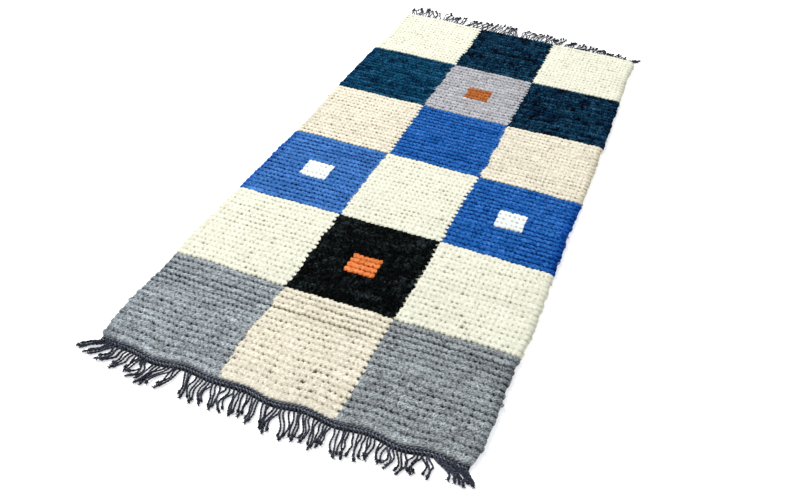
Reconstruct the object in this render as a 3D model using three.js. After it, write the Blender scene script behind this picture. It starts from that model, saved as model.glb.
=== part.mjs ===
// A hand-woven wool rug that lies flat on the floor, with a cotton fringe at both ends.
// Millimetres. +Z is up, +Y runs along the rug, and the near end is at the lowest Y.

import * as THREE from 'three';

// Driving dimensions of the cloth
const CLOTH_WIDTH = 650;
const CLOTH_LENGTH = 1440;
const RIBS = 103;
const RIB_TOP = 12;
const RIB_GROOVE = 9.4;
const GROOVE_SWELL = 0.6;
const COLUMNS = 12;
const EDGE_BULGE_HEIGHT = 5.2;
const EDGE_SHOULDER_HEIGHT = 8.8;
const EDGE_SHOULDER_INSET = 3.2;
const EDGE_FOOT_INSET = 1.8;
const SCALLOP_DEPTH = 1.6;
const END_WALL_HEIGHT = 6.4;
const CORNER_ROUNDING = 5;
const CORNER_REACH = 26;

// The open ribs: near the near end the weaving has parted in a few places
const PARTED_GROOVES = [
  { rib: 12, depth: 1.2 },
  { rib: 13, depth: 3.4 },
  { rib: 14, depth: 2.6 },
  { rib: 15, depth: 3.6 },
  { rib: 16, depth: 1.6 },
];

// The slow unevenness of the top, as waves: how high, and how long across and along the cloth
const SWELLS = [
  { height: 0.5, waveAcross: 610, waveAlong: 1090, phase: 0.4 },
  { height: 0.4, waveAcross: -900, waveAlong: 380, phase: 2.1 },
  { height: 0.3, waveAcross: 240, waveAlong: 520, phase: 4.0 },
];

// How far each side edge stands outside the nominal width, along the length from the near end
const SIDE_EDGES = [
  { along: 0, left: 8, right: 3 },
  { along: 100, left: 12, right: 7 },
  { along: 190, left: 8, right: 5 },
  { along: 300, left: 13, right: 13 },
  { along: 460, left: 9, right: 11 },
  { along: 600, left: 7, right: 9 },
  { along: 780, left: 2, right: 12 },
  { along: 1000, left: 6, right: 11 },
  { along: 1180, left: 5, right: 9 },
  { along: 1315, left: -1, right: 6 },
  { along: 1440, left: 7, right: 9 },
];

// How far each end stands outside the nominal length, across from the left edge
const END_EDGES = [
  { across: 0, near: -5, far: 10 },
  { across: 54, near: -4, far: 13 },
  { across: 108, near: 4, far: 16 },
  { across: 162, near: -4, far: 11 },
  { across: 217, near: 1, far: 9 },
  { across: 271, near: -2, far: 12 },
  { across: 325, near: 6, far: 13 },
  { across: 379, near: -1, far: 13 },
  { across: 433, near: 6, far: 10 },
  { across: 488, near: -1, far: 11 },
  { across: 542, near: 7, far: 10 },
  { across: 596, near: -2, far: 11 },
  { across: 650, near: 3, far: 7 },
];
const END_WAVE_REACH = 90;

// Driving dimensions of the fringes
const JOINT_GAP = 0.3;
const STRIP_WIDTH = 13;
const STRIP_HEIGHT = 5.2;
const STRIP_SHOULDER = 4.4;
const STRIP_CROWN_OUT = 4.5;
const FRINGE_MARGIN = 2;
const BUNCH_ROOT_GAP = 5.9;
const BUNCH_TIP_GAP = 4.5;
const STRAND_WIDTH = 3;
const STRAND_HEIGHT = 2.9;
const KNOT_WIDTH = 4.2;
const KNOT_HEIGHT = 4;
const KNOT_LENGTH = 5;
const KNOT_TIP_SHARE = 0.7;

// Each bunch has three strands, tied off at staggered lengths
const BUNCH_STRANDS = [
  { side: -1, longer: -4.5 },
  { side: 0, longer: 3 },
  { side: 1, longer: -3.2 },
];

// How each bunch lies, from the left edge: its tip's sideways lean and its reach past the strip
const NEAR_FRINGE = [
  { lean: -22, reach: 22 },
  { lean: -22, reach: 28 },
  { lean: -21, reach: 33 },
  { lean: -13, reach: 38 },
  { lean: -14, reach: 33 },
  { lean: -15, reach: 38 },
  { lean: -16, reach: 43 },
  { lean: -17, reach: 46 },
  { lean: -18, reach: 46 },
  { lean: 13, reach: 47 },
  { lean: 14, reach: 49 },
  { lean: 12, reach: 45 },
  { lean: 14, reach: 47 },
  { lean: 13, reach: 47 },
  { lean: 12, reach: 48 },
  { lean: 9, reach: 43 },
  { lean: 7, reach: 46 },
  { lean: 5, reach: 42 },
  { lean: 2, reach: 50 },
  { lean: 15, reach: 54 },
  { lean: 13, reach: 51 },
  { lean: 11, reach: 48 },
  { lean: 9, reach: 53 },
  { lean: 4, reach: 41 },
  { lean: 10, reach: 49 },
  { lean: 8, reach: 49 },
  { lean: 9, reach: 47 },
  { lean: 6, reach: 40 },
  { lean: 4, reach: 36 },
  { lean: 5, reach: 36 },
  { lean: 4, reach: 39 },
  { lean: 5, reach: 36 },
  { lean: 13, reach: 34 },
  { lean: 24, reach: 27 },
  { lean: 24, reach: 26 },
  { lean: 19, reach: 21 },
];
const FAR_FRINGE = [
  { lean: -12, reach: 42 },
  { lean: -15, reach: 54 },
  { lean: -13, reach: 56 },
  { lean: -16, reach: 54 },
  { lean: -17, reach: 48 },
  { lean: 10, reach: 53 },
  { lean: 8, reach: 39 },
  { lean: 5, reach: 42 },
  { lean: 4, reach: 49 },
  { lean: 15, reach: 44 },
  { lean: 16, reach: 46 },
  { lean: 13, reach: 50 },
  { lean: 10, reach: 52 },
  { lean: 7, reach: 50 },
  { lean: 5, reach: 54 },
  { lean: 2, reach: 52 },
  { lean: -3, reach: 50 },
  { lean: -6, reach: 52 },
  { lean: 15, reach: 50 },
  { lean: 14, reach: 44 },
  { lean: 10, reach: 44 },
  { lean: 9, reach: 50 },
  { lean: 5, reach: 48 },
  { lean: 10, reach: 36 },
  { lean: 8, reach: 52 },
  { lean: 15, reach: 40 },
  { lean: 13, reach: 38 },
  { lean: 11, reach: 38 },
  { lean: 13, reach: 36 },
  { lean: 12, reach: 34 },
  { lean: 10, reach: 30 },
  { lean: 7, reach: 21 },
  { lean: 5, reach: 20 },
  { lean: 3, reach: 24 },
  { lean: 5, reach: 13 },
  { lean: 8, reach: 13 },
];
const BUNCHES = NEAR_FRINGE.length;

const STATIONS = 2 * RIBS;
const HALF_WIDTH = CLOTH_WIDTH / 2;
const HALF_LENGTH = CLOTH_LENGTH / 2;

// Reads a table at a place between its rows, on a smooth curve
function readTable(table, key, field, place) {
  const last = table.length - 1;
  let row = 0;
  while (row < last - 1 && place > table[row + 1][key]) row += 1;
  const span = table[row + 1][key] - table[row][key];
  const t = THREE.MathUtils.clamp((place - table[row][key]) / span, 0, 1);
  const eased = THREE.MathUtils.smoothstep(t, 0, 1);
  return THREE.MathUtils.lerp(table[row][field], table[row + 1][field], eased);
}

// Where a side edge is at a place along the cloth. side is -1 for the left edge and 1 for the right.
function edgeX(side, along) {
  const fromEnd = Math.min(along, CLOTH_LENGTH - along);
  const corner = THREE.MathUtils.clamp(1 - fromEnd / CORNER_REACH, 0, 1);
  const out = readTable(SIDE_EDGES, 'along', side < 0 ? 'left' : 'right', along);
  return side * (HALF_WIDTH + out - CORNER_ROUNDING * corner * corner);
}

// Which side edge a column of points lies on: -1 for left, 1 for right and 0 for neither
function edgeSide(column) {
  if (column === 0) return -1;
  return column === COLUMNS ? 1 : 0;
}

// How far the wave of an end shifts the ribs along the cloth, fading away from that end
function endShift(across, along) {
  const near = readTable(END_EDGES, 'across', 'near', across);
  const far = readTable(END_EDGES, 'across', 'far', across);
  const nearFade = Math.exp(-along / END_WAVE_REACH);
  const farFade = Math.exp(-(CLOTH_LENGTH - along) / END_WAVE_REACH);
  return far * farFade - near * nearFade;
}

// The slow rise and fall of the cloth's top
function swell(across, along) {
  return SWELLS.reduce((sum, wave) => {
    const turns = across / wave.waveAcross + along / wave.waveAlong;
    return sum + wave.height * Math.sin(2 * Math.PI * turns + wave.phase);
  }, 0);
}

// The height of the top at a station: ribs are odd stations, and grooves are even ones
function topHeight(station, across, along) {
  const isRib = station % 2 === 1;
  const parted = PARTED_GROOVES.find((groove) => 2 * groove.rib === station);
  const height = isRib ? RIB_TOP : RIB_GROOVE - (parted ? parted.depth : 0);
  return height + swell(across, along) * (isRib ? 1 : GROOVE_SWELL);
}

// A point of the cloth seen from above, by station along and column across
function clothPlace(station, column) {
  const along = (station / STATIONS) * CLOTH_LENGTH;
  const across = (column / COLUMNS) * CLOTH_WIDTH;
  const left = edgeX(-1, along);
  const right = edgeX(1, along);
  const x = THREE.MathUtils.lerp(left, right, column / COLUMNS);
  return { x, y: along - HALF_LENGTH + endShift(across, along), along, across };
}

// The line of an end's wall seen from above, a point for each column
function endLine(station) {
  const line = [];
  for (let column = 0; column <= COLUMNS; column += 1) {
    const { x, y } = clothPlace(station, column);
    line.push(new THREE.Vector2(x - edgeSide(column) * EDGE_SHOULDER_INSET, y));
  }
  return line;
}

// Collects points and faces into one closed geometry. A mirrored shell turns its faces round.
class Shell {
  constructor(mirrored = false) {
    this.mirrored = mirrored;
    this.positions = [];
    this.faces = [];
  }

  point(x, y, z) {
    this.positions.push(x, y, z);
    return this.positions.length / 3 - 1;
  }

  xOf(index) {
    return this.positions[3 * index];
  }

  yOf(index) {
    return this.positions[3 * index + 1];
  }

  triangle(a, b, c) {
    if (this.mirrored) this.faces.push(a, c, b);
    else this.faces.push(a, b, c);
  }

  quad(a, b, c, d) {
    this.triangle(a, b, c);
    this.triangle(a, c, d);
  }

  geometry() {
    const geometry = new THREE.BufferGeometry();
    geometry.setAttribute('position', new THREE.Float32BufferAttribute(this.positions, 3));
    geometry.setIndex(this.faces);
    return geometry;
  }
}

// One side edge of the cloth: a bulging turned edge under the top's outer column
function sideWall(shell, side, top) {
  const column = side < 0 ? 0 : COLUMNS;
  const bulge = [];
  const foot = [];
  for (let station = 0; station <= STATIONS; station += 1) {
    const place = clothPlace(station, column);
    const scallop = station % 2 === 0 ? SCALLOP_DEPTH : 0;
    const x = place.x - side * scallop;
    bulge.push(shell.point(x, place.y, EDGE_BULGE_HEIGHT));
    foot.push(shell.point(x - side * EDGE_FOOT_INSET, place.y, 0));
  }
  for (let station = 0; station < STATIONS; station += 1) {
    const upper = [top[station][column], top[station + 1][column]];
    for (const [high, low] of [[upper, bulge], [[bulge[station], bulge[station + 1]], foot]]) {
      const lowPair = [low[station], low[station + 1]];
      if (side < 0) shell.quad(high[0], high[1], lowPair[1], lowPair[0]);
      else shell.quad(high[1], high[0], lowPair[0], lowPair[1]);
    }
  }
  return { bulge, foot };
}

// One end of the cloth: an upright wall from the top's last row of points to the floor
function endWall(shell, station, top, left, right) {
  const row = top[station];
  const facesNear = station === 0;
  const foot = row.map((_, column) => {
    if (column === 0) return left.foot[station];
    if (column === COLUMNS) return right.foot[station];
    const place = clothPlace(station, column);
    return shell.point(place.x, place.y, 0);
  });
  for (let column = 0; column < COLUMNS; column += 1) {
    if (facesNear) shell.quad(foot[column], foot[column + 1], row[column + 1], row[column]);
    else shell.quad(foot[column + 1], foot[column], row[column], row[column + 1]);
  }
  const leftCorner = [row[0], left.bulge[station], left.foot[station]];
  const rightCorner = [row[COLUMNS], right.foot[station], right.bulge[station]];
  if (!facesNear) {
    leftCorner.reverse();
    rightCorner.reverse();
  }
  shell.triangle(...leftCorner);
  shell.triangle(...rightCorner);
  return foot.slice(1, COLUMNS);
}

// The flat underside, inside the ring of points at floor level
function underside(shell, ring) {
  const outline = ring.map((index) => new THREE.Vector2(shell.xOf(index), shell.yOf(index)));
  for (const [a, b, c] of THREE.ShapeUtils.triangulateShape(outline, [])) {
    shell.triangle(ring[a], ring[c], ring[b]);
  }
}

// The cloth: one flat solid with a raised rib for each row of the weave
function clothGeometry() {
  const shell = new Shell();
  const top = [];
  for (let station = 0; station <= STATIONS; station += 1) {
    const atEnd = station === 0 || station === STATIONS;
    const row = [];
    for (let column = 0; column <= COLUMNS; column += 1) {
      const place = clothPlace(station, column);
      const side = edgeSide(column);
      const x = place.x - side * EDGE_SHOULDER_INSET;
      const height = topHeight(station, place.across, place.along);
      const shoulder = side === 0 ? height : Math.min(height, EDGE_SHOULDER_HEIGHT);
      row.push(shell.point(x, place.y, atEnd ? END_WALL_HEIGHT : shoulder));
    }
    top.push(row);
  }
  for (let station = 0; station < STATIONS; station += 1) {
    for (let column = 0; column < COLUMNS; column += 1) {
      const here = top[station];
      const next = top[station + 1];
      shell.quad(here[column], here[column + 1], next[column + 1], next[column]);
    }
  }
  const left = sideWall(shell, -1, top);
  const right = sideWall(shell, 1, top);
  const nearFoot = endWall(shell, 0, top, left, right);
  const farFoot = endWall(shell, STATIONS, top, left, right);
  const ring = [...nearFoot, ...right.foot, ...farFoot.reverse(), ...[...left.foot].reverse()];
  underside(shell, ring);
  return shell.geometry();
}

// An end of the rug: which way it faces, its station on the cloth and its fringe table
const NEAR_END = { facing: -1, station: 0, fringe: NEAR_FRINGE };
const FAR_END = { facing: 1, station: STATIONS, fringe: FAR_FRINGE };

// The y of a line of points at a given x
function lineY(line, x) {
  let piece = 0;
  while (piece < line.length - 2 && x > line[piece + 1].x) piece += 1;
  const [a, b] = [line[piece], line[piece + 1]];
  return THREE.MathUtils.mapLinear(x, a.x, b.x, a.y, b.y);
}

// Faces between two chains of points that both run from left to right
function stitch(shell, inner, outer, facesUp) {
  let a = 0;
  let b = 0;
  while (a < inner.length - 1 || b < outer.length - 1) {
    const innerNext = a < inner.length - 1 ? shell.xOf(inner[a + 1]) : Infinity;
    const outerNext = b < outer.length - 1 ? shell.xOf(outer[b + 1]) : Infinity;
    const outerMoves = outerNext <= innerNext;
    const next = outerMoves ? outer[b + 1] : inner[a + 1];
    if (facesUp) shell.triangle(inner[a], outer[b], next);
    else shell.triangle(inner[a], next, outer[b]);
    if (outerMoves) b += 1;
    else a += 1;
  }
}

// Where each strand of an end starts on the strip and where its tip lies: x, and distance out
function strandRoutes(end, line) {
  const routes = [];
  const left = line[0].x + FRINGE_MARGIN;
  const right = line[COLUMNS].x - FRINGE_MARGIN;
  for (let bunch = 0; bunch < BUNCHES; bunch += 1) {
    const { lean, reach } = end.fringe[bunch];
    const aside = new THREE.Vector2(reach, -lean).normalize().multiplyScalar(BUNCH_TIP_GAP);
    const middle = THREE.MathUtils.lerp(left, right, (bunch + 0.5) / BUNCHES);
    for (const strand of BUNCH_STRANDS) {
      const root = new THREE.Vector2(middle + strand.side * BUNCH_ROOT_GAP, STRIP_WIDTH);
      const tip = new THREE.Vector2(middle + lean, STRIP_WIDTH + reach);
      tip.addScaledVector(aside, strand.side);
      const way = tip.clone().sub(root);
      tip.addScaledVector(way.normalize(), strand.longer);
      routes.push({ root, tip });
    }
  }
  return routes;
}

// The places along a strand past its root: share of the way to the knot, size,
// and how much of the sideways lean is reached
const STRAND_PLACES = [
  { share: 0.5, width: STRAND_WIDTH, height: STRAND_HEIGHT, lean: 0.4 },
  { share: 1, width: STRAND_WIDTH, height: STRAND_HEIGHT, lean: 1 },
];

// The knot past a strand's neck: share of the knot's length, and size
const KNOT_PLACES = [
  { share: 0.5, width: KNOT_WIDTH, height: KNOT_HEIGHT },
  { share: 1, width: KNOT_TIP_SHARE * KNOT_WIDTH, height: KNOT_TIP_SHARE * KNOT_HEIGHT },
];

// One strand: three-sided, lying flat on the floor, with a small knot at its tip.
// base holds its points on the strip: left foot, right foot and top.
function addStrand(shell, { root, tip }, base, placeOut) {
  const knotWay = tip.clone().sub(root).setLength(KNOT_LENGTH);
  const neck = tip.clone().sub(knotWay);
  const places = STRAND_PLACES.map(({ share, lean, ...size }) => {
    const x = THREE.MathUtils.lerp(root.x, neck.x, lean);
    const out = THREE.MathUtils.lerp(root.y, neck.y, share);
    return { ...size, centre: new THREE.Vector2(x, out) };
  });
  for (const { share, ...size } of KNOT_PLACES) {
    places.push({ ...size, centre: neck.clone().addScaledVector(knotWay, share) });
  }
  let ring = base;
  places.forEach(({ centre, width, height }, index) => {
    const before = index === 0 ? root : places[index - 1].centre;
    const after = places[Math.min(index + 1, places.length - 1)].centre;
    const way = after.clone().sub(before).normalize();
    const aside = new THREE.Vector2(way.y, -way.x).multiplyScalar(width / 2);
    const next = [
      placeOut(centre.x - aside.x, centre.y - aside.y, 0),
      placeOut(centre.x + aside.x, centre.y + aside.y, 0),
      placeOut(centre.x, centre.y, height),
    ];
    for (let side = 0; side < 3; side += 1) {
      const turn = (side + 1) % 3;
      shell.quad(ring[side], ring[turn], next[turn], next[side]);
    }
    ring = next;
  });
  shell.triangle(ring[0], ring[1], ring[2]);
}

// A fringe: a narrow woven strip along the end of the cloth, and strands that grow out of it
function fringeGeometry(end) {
  const shell = new Shell(end.facing > 0);
  const line = endLine(end.station);
  const onStrip = (x, out, up) => shell.point(x, lineY(line, x) + end.facing * out, up);
  const across = (out, up) => line.map(({ x }) => onStrip(x, out, up));
  const innerFoot = across(JOINT_GAP, 0);
  const innerTop = across(JOINT_GAP, STRIP_SHOULDER);
  const crown = across(STRIP_CROWN_OUT, STRIP_HEIGHT);

  const ends = [line[0].x, line[COLUMNS].x];
  const [leftFoot, rightFoot] = ends.map((x) => onStrip(x, STRIP_WIDTH, 0));
  const [leftTop, rightTop] = ends.map((x) => onStrip(x, STRIP_WIDTH, STRAND_HEIGHT));
  const outerFoot = [leftFoot];
  const outerTop = [leftTop];
  for (const route of strandRoutes(end, line)) {
    const rootY = lineY(line, route.root.x);
    const placeOut = (x, out, up) => shell.point(x, rootY + end.facing * out, up);
    const base = [
      onStrip(route.root.x - STRAND_WIDTH / 2, STRIP_WIDTH, 0),
      onStrip(route.root.x + STRAND_WIDTH / 2, STRIP_WIDTH, 0),
      onStrip(route.root.x, STRIP_WIDTH, STRAND_HEIGHT),
    ];
    shell.quad(outerFoot.at(-1), base[0], base[2], outerTop.at(-1));
    outerFoot.push(base[0], base[1]);
    outerTop.push(base[2]);
    addStrand(shell, route, base, placeOut);
  }
  shell.quad(outerFoot.at(-1), rightFoot, rightTop, outerTop.at(-1));
  outerFoot.push(rightFoot);
  outerTop.push(rightTop);

  stitch(shell, crown, outerTop, true);
  stitch(shell, innerTop, crown, true);
  stitch(shell, innerFoot, outerFoot, false);
  for (let column = 0; column < COLUMNS; column += 1) {
    shell.quad(innerFoot[column + 1], innerFoot[column], innerTop[column], innerTop[column + 1]);
  }
  const leftEnd = [innerFoot[0], leftFoot, leftTop, crown[0], innerTop[0]];
  const rightEnd = [rightFoot, innerFoot.at(-1), innerTop.at(-1), crown.at(-1), rightTop];
  for (const [first, ...rest] of [leftEnd, rightEnd]) {
    for (let corner = 0; corner < rest.length - 1; corner += 1) {
      shell.triangle(first, rest[corner], rest[corner + 1]);
    }
  }
  return shell.geometry();
}

const WOOL = new THREE.MeshStandardMaterial({ color: 0xe9e4d2, roughness: 0.95, metalness: 0 });
const COTTON = new THREE.MeshStandardMaterial({ color: 0x2c2d36, roughness: 0.9, metalness: 0 });

function namedMesh(name, geometry, material) {
  geometry.computeVertexNormals();
  const mesh = new THREE.Mesh(geometry, material);
  mesh.name = name;
  return mesh;
}

const rug = new THREE.Group();
rug.add(namedMesh('rug_body', clothGeometry(), WOOL));
rug.add(namedMesh('fringe_near', fringeGeometry(NEAR_END), COTTON));
rug.add(namedMesh('fringe_far', fringeGeometry(FAR_END), COTTON));

// The rug stands on its underside, with the origin below the middle of its whole outline
const outline = new THREE.Box3().setFromObject(rug);
const middle = outline.getCenter(new THREE.Vector3());
rug.position.set(-middle.x, -middle.y, 0);
rug.updateMatrixWorld(true);

export default rug;
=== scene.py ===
"""The looks of a hand-woven wool rug with a cotton fringe at both ends.

Lengths are in millimetres until a mesh is made, and the frame is in metres. +Z is up, +Y runs
along the rug, and the near end is at the lowest Y.
"""

from types import SimpleNamespace as Values

import bpy
import numpy as np
from mathutils import Euler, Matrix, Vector


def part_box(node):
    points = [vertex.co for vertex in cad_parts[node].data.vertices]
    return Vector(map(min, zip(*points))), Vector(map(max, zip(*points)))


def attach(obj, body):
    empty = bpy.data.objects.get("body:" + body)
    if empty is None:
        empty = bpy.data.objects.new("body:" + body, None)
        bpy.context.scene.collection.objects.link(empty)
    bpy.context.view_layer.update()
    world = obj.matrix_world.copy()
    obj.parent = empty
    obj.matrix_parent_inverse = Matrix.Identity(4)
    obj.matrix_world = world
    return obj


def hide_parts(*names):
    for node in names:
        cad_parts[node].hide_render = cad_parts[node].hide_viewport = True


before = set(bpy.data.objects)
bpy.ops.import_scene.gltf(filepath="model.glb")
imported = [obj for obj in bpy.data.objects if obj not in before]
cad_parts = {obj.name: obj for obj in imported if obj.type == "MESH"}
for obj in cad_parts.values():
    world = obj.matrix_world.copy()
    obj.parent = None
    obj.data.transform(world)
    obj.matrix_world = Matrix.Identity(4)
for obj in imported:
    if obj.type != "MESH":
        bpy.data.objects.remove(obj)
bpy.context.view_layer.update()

MM = 0.001
TINY = 1e-9

# Driving dimensions of the cloth, as in the solids
CLOTH_WIDTH = 650
CLOTH_LENGTH = 1440
ROWS = 103
STITCHES = 68
RIB_TOP = 12
CORNER_ROUNDING = 5
CORNER_REACH = 26
END_WAVE_REACH = 90
EDGE_SHOULDER_INSET = 3.2
ROW_PITCH = CLOTH_LENGTH / ROWS
STITCH_PITCH = CLOTH_WIDTH / STITCHES

# The swells of the top: their height, wave across, wave along and phase
SWELLS = [(0.5, 610, 1090, 0.4), (0.4, -900, 380, 2.1), (0.3, 240, 520, 4.0)]

SIDE_EDGES = {
    "at": [0, 100, 190, 300, 460, 600, 780, 1000, 1180, 1315, 1440],
    "left": [8, 12, 8, 13, 9, 7, 2, 6, 5, -1, 7],
    "right": [3, 7, 5, 13, 11, 9, 12, 11, 9, 6, 9],
}

END_EDGES = {
    "at": [0, 54, 108, 162, 217, 271, 325, 379, 433, 488, 542, 596, 650],
    "near": [-5, -4, 4, -4, 1, -2, 6, -1, 6, -1, 7, -2, 3],
    "far": [10, 13, 16, 11, 9, 12, 13, 13, 10, 11, 10, 11, 7],
}

# The rows whose grooves have been pulled open, and how far
PARTED = {12: 0.25, 13: 0.95, 14: 0.5, 15: 0.8, 16: 0.25}

# Driving dimensions of the fringes, as in the solids
STRIP_WIDTH = 13
FRINGE_MARGIN = 2
BUNCH_ROOT_GAP = 5.9
BUNCH_TIP_GAP = 4.5
KNOT_LENGTH = 5

# The side of its bunch that each strand is on, and how much longer it is
BUNCH_STRANDS = {-1: -4.5, 0: 3, 1: -3.2}

# The ends: how thick the strands are, how they curl and stray, and how each bunch lies, from the
# left edge: its tip's sideways lean and its reach past the strip. Those of the solids lean a
# little less at the corners.
NEAR_END = Values(
    name="near", facing=-1, radius=1.65, curl=1.5, stray=1.6,
    lean=[-37, -35, -27, -14, -14, -15, -16, -17, -18, 13, 14, 12, 14, 13, 12, 9, 7, 5]
    + [2, 15, 13, 11, 9, 4, 10, 8, 9, 6, 4, 5, 4, 5, 16, 34, 31, 25],
    reach=[20, 28, 34, 38, 33, 38, 43, 46, 46, 47, 49, 45, 47, 47, 48, 43, 46, 42]
    + [50, 54, 51, 48, 53, 41, 49, 49, 47, 40, 36, 36, 39, 36, 35, 26, 26, 19],
)
FAR_END = Values(
    name="far", facing=1, radius=1.4, curl=4.0, stray=5.5,
    lean=[-12, -15, -13, -16, -17, 10, 8, 5, 4, 15, 16, 13, 10, 7, 5, 2, -3, -6]
    + [15, 14, 10, 9, 5, 10, 8, 15, 13, 11, 13, 12, 10, 7, 5, 3, 5, 24],
    reach=[42, 54, 56, 54, 48, 53, 39, 42, 49, 44, 46, 50, 52, 50, 54, 52, 50, 52]
    + [50, 44, 44, 50, 48, 36, 52, 40, 38, 38, 36, 34, 30, 21, 20, 24, 13, 13],
)
BUNCHES = len(NEAR_END.lean)

# The chequer: the yarns of the blocks from left to right, from the near end to the far end
BLOCKS = [
    ["grey", "beige", "ash"],
    ["cream", "black", "cream"],
    ["blue", "cream", "deep_blue"],
    ["beige", "deep_blue", "beige"],
    ["teal", "lilac", "dark_teal"],
    ["cream", "dark_teal", "cream"],
]

# The small squares in the middle of some blocks, by row and column of blocks
SPOTS = {(1, 1): "orange", (2, 0): "white", (2, 2): "white", (4, 1): "rust"}
SPOT_STITCHES = 6
SPOT_ROWS = 4

# The yarns: red, green and blue in linear light, how mixed the fibres are, how far the weave
# opens, and how deep the grooves between its rows are and how much painted shade lies in them
# and on the side rims
YARNS = {
    "cream": (0.78, 0.775, 0.65, 0.1, 0.43, 0.28),
    "beige": (0.755, 0.705, 0.58, 0.19, 0.6, 0.48),
    "white": (0.82, 0.86, 0.83, 0.06, 0.42, 0.26),
    "blue": (0.053, 0.166, 0.44, 0.42, 1.35, 1.1),
    "deep_blue": (0.0215, 0.116, 0.372, 0.52, 1.05, 1.35),
    "teal": (0.0025, 0.04, 0.082, 1.2, 0.9, 1.5),
    "dark_teal": (0.0008, 0.018, 0.038, 1.7, 0.95, 1.6),
    "grey": (0.296, 0.326, 0.347, 0.55, 1.15, 1.05),
    "ash": (0.264, 0.287, 0.298, 0.57, 1.2, 1.12),
    "lilac": (0.41, 0.41, 0.435, 0.38, 0.75, 0.9),
    "black": (0.0014, 0.0013, 0.0013, 1.6, 0.5, 0.9),
    "orange": (0.69, 0.215, 0.068, 0.3, 0.62, 0.6),
    "rust": (0.39, 0.13, 0.04, 0.32, 0.62, 0.65),
    # The warp is darkened far below the fringe's cotton: painted shade deep in the pits
    "warp": (0.004, 0.0045, 0.005, 0.4, 1.0, 0),
    "cotton": (0.039, 0.045, 0.062, 0.7, 1.0, 0),
}
YARN_NAMES = list(YARNS)
*YARN_VALUES, YARN_OPEN, YARN_LINED = np.transpose(list(YARNS.values()))
YARN_VALUES = np.stack(YARN_VALUES, -1)
COTTON, SHADED_WARP = (YARN_VALUES[YARN_NAMES.index(name)] for name in ("cotton", "warp"))

SEEDS = {"teeth": 5, "lattice": 11, "shades": 23, "swings": 31, "fibres": 67, "loops": 71}
SEEDS |= {"heading_near": 41, "heading_far": 44, "strands_near": 53, "strands_far": 56}

# The cells of the clouds of unevenness: so many stitches across and rows along
CLOUDS = {"patch": (9, 6), "streak": (7, 1), "gape": (5, 1), "batch": (3, 1)}
CLOUDS |= {"column": (12, 9), "row": (8, 4), "long_row": (22, 1)}
SPARE_CELLS = 3


def draws(name):
    return np.random.default_rng(SEEDS[name])


def smooth(t):
    """An eased step from 0 to 1."""
    t = np.clip(t, 0, 1)
    return t * t * (3 - 2 * t)


def rising(least, t):
    """From the least at 0 to one at 1."""
    return least + (1 - least) * t


def bell(distance, half):
    return np.exp(-((distance / half) ** 2))


def read_table(table, field, place):
    """Reads a table at places between its rows, on a smooth curve."""
    at, value = np.array(table["at"], float), np.array(table[field], float)
    row = np.clip(np.searchsorted(at, place) - 1, 0, len(at) - 2)
    t = (place - at[row]) / (at[row + 1] - at[row])
    return value[row] + (value[row + 1] - value[row]) * smooth(t)


def edge_x(side, along):
    """Where a side edge is at a place along the cloth."""
    from_end = np.minimum(along, CLOTH_LENGTH - along)
    corner = np.clip(1 - from_end / CORNER_REACH, 0, 1)
    out = read_table(SIDE_EDGES, "left" if side < 0 else "right", along)
    return side * (CLOTH_WIDTH / 2 + out - CORNER_ROUNDING * corner**2)


def end_shift(across, along):
    """How far the wave of an end shifts the rows along the cloth."""
    near = read_table(END_EDGES, "near", across)
    far = read_table(END_EDGES, "far", across)
    near_fade = np.exp(-along / END_WAVE_REACH)
    far_fade = np.exp(-(CLOTH_LENGTH - along) / END_WAVE_REACH)
    return far * far_fade - near * near_fade


def cloth_place(u, v, inset):
    """Where a stitch and a row lie on the cloth, with its side edges drawn in so far."""
    along = v * ROW_PITCH
    left, right = edge_x(-1, along) + inset, edge_x(1, along) - inset
    x = left + (right - left) * u / STITCHES
    return x, along - CLOTH_LENGTH / 2 + end_shift(u * STITCH_PITCH, along)


def swell(across, along):
    """The slow rise and fall of the cloth's top."""
    total = 0
    for height, wave_across, wave_along, phase in SWELLS:
        turns = across / wave_across + along / wave_along
        total = total + height * np.sin(2 * np.pi * turns + phase)
    return total


def sample(field, u, v):
    """Reads a lattice of values at places between its points, on a smooth curve."""
    i = np.clip(np.floor(u).astype(int), 0, field.shape[1] - 2)
    j = np.clip(np.floor(v).astype(int), 0, field.shape[0] - 2)
    s, t = smooth(u - i), smooth(v - j)
    low = field[j, i] * (1 - s) + field[j, i + 1] * s
    high = field[j + 1, i] * (1 - s) + field[j + 1, i + 1] * s
    return low * (1 - t) + high * t


def cloudy(rng, u, v, cloud):
    """Soft clouds between -1 and 1."""
    cell_across, cell_along = CLOUDS[cloud]
    across = int(STITCHES / cell_across) + SPARE_CELLS
    along = int(ROWS / cell_along) + SPARE_CELLS
    return sample(rng.uniform(-1, 1, (along, across)), u / cell_across, v / cell_along)


def frame_shift():
    """The frame's place of the cloth: the solids are centred on their whole outline."""
    along = np.arange(2 * ROWS + 1) * ROW_PITCH / 2
    left, right = edge_x(-1, along).min(), edge_x(1, along).max()
    low, high = (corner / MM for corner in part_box("rug_body"))
    across = np.array(END_EDGES["at"], float)
    near = end_shift(across, 0).min() - CLOTH_LENGTH / 2
    return np.array([(low.x + high.x - left - right) / 2, low.y - near, 0.0])


SHIFT = frame_shift()


def block_edges(count, total):
    return np.rint(np.arange(count + 1) * total / count).astype(int)


COLUMN_EDGES = block_edges(len(BLOCKS[0]), STITCHES)
BLOCK_EDGES = block_edges(len(BLOCKS), ROWS)
BLOCK_YARNS = np.array([[YARN_NAMES.index(name) for name in row] for row in BLOCKS])
TOOTH = 0.3
TOOTH_JITTER = 0.2
TOOTH_SHIFTS = draws("teeth").uniform(-1, 1, (ROWS + 1, len(COLUMN_EDGES)))
SPOT_TOOTH = 0.15


def cell_of(place, count):
    return np.clip(np.floor(place).astype(int), 0, count - 1)


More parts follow.
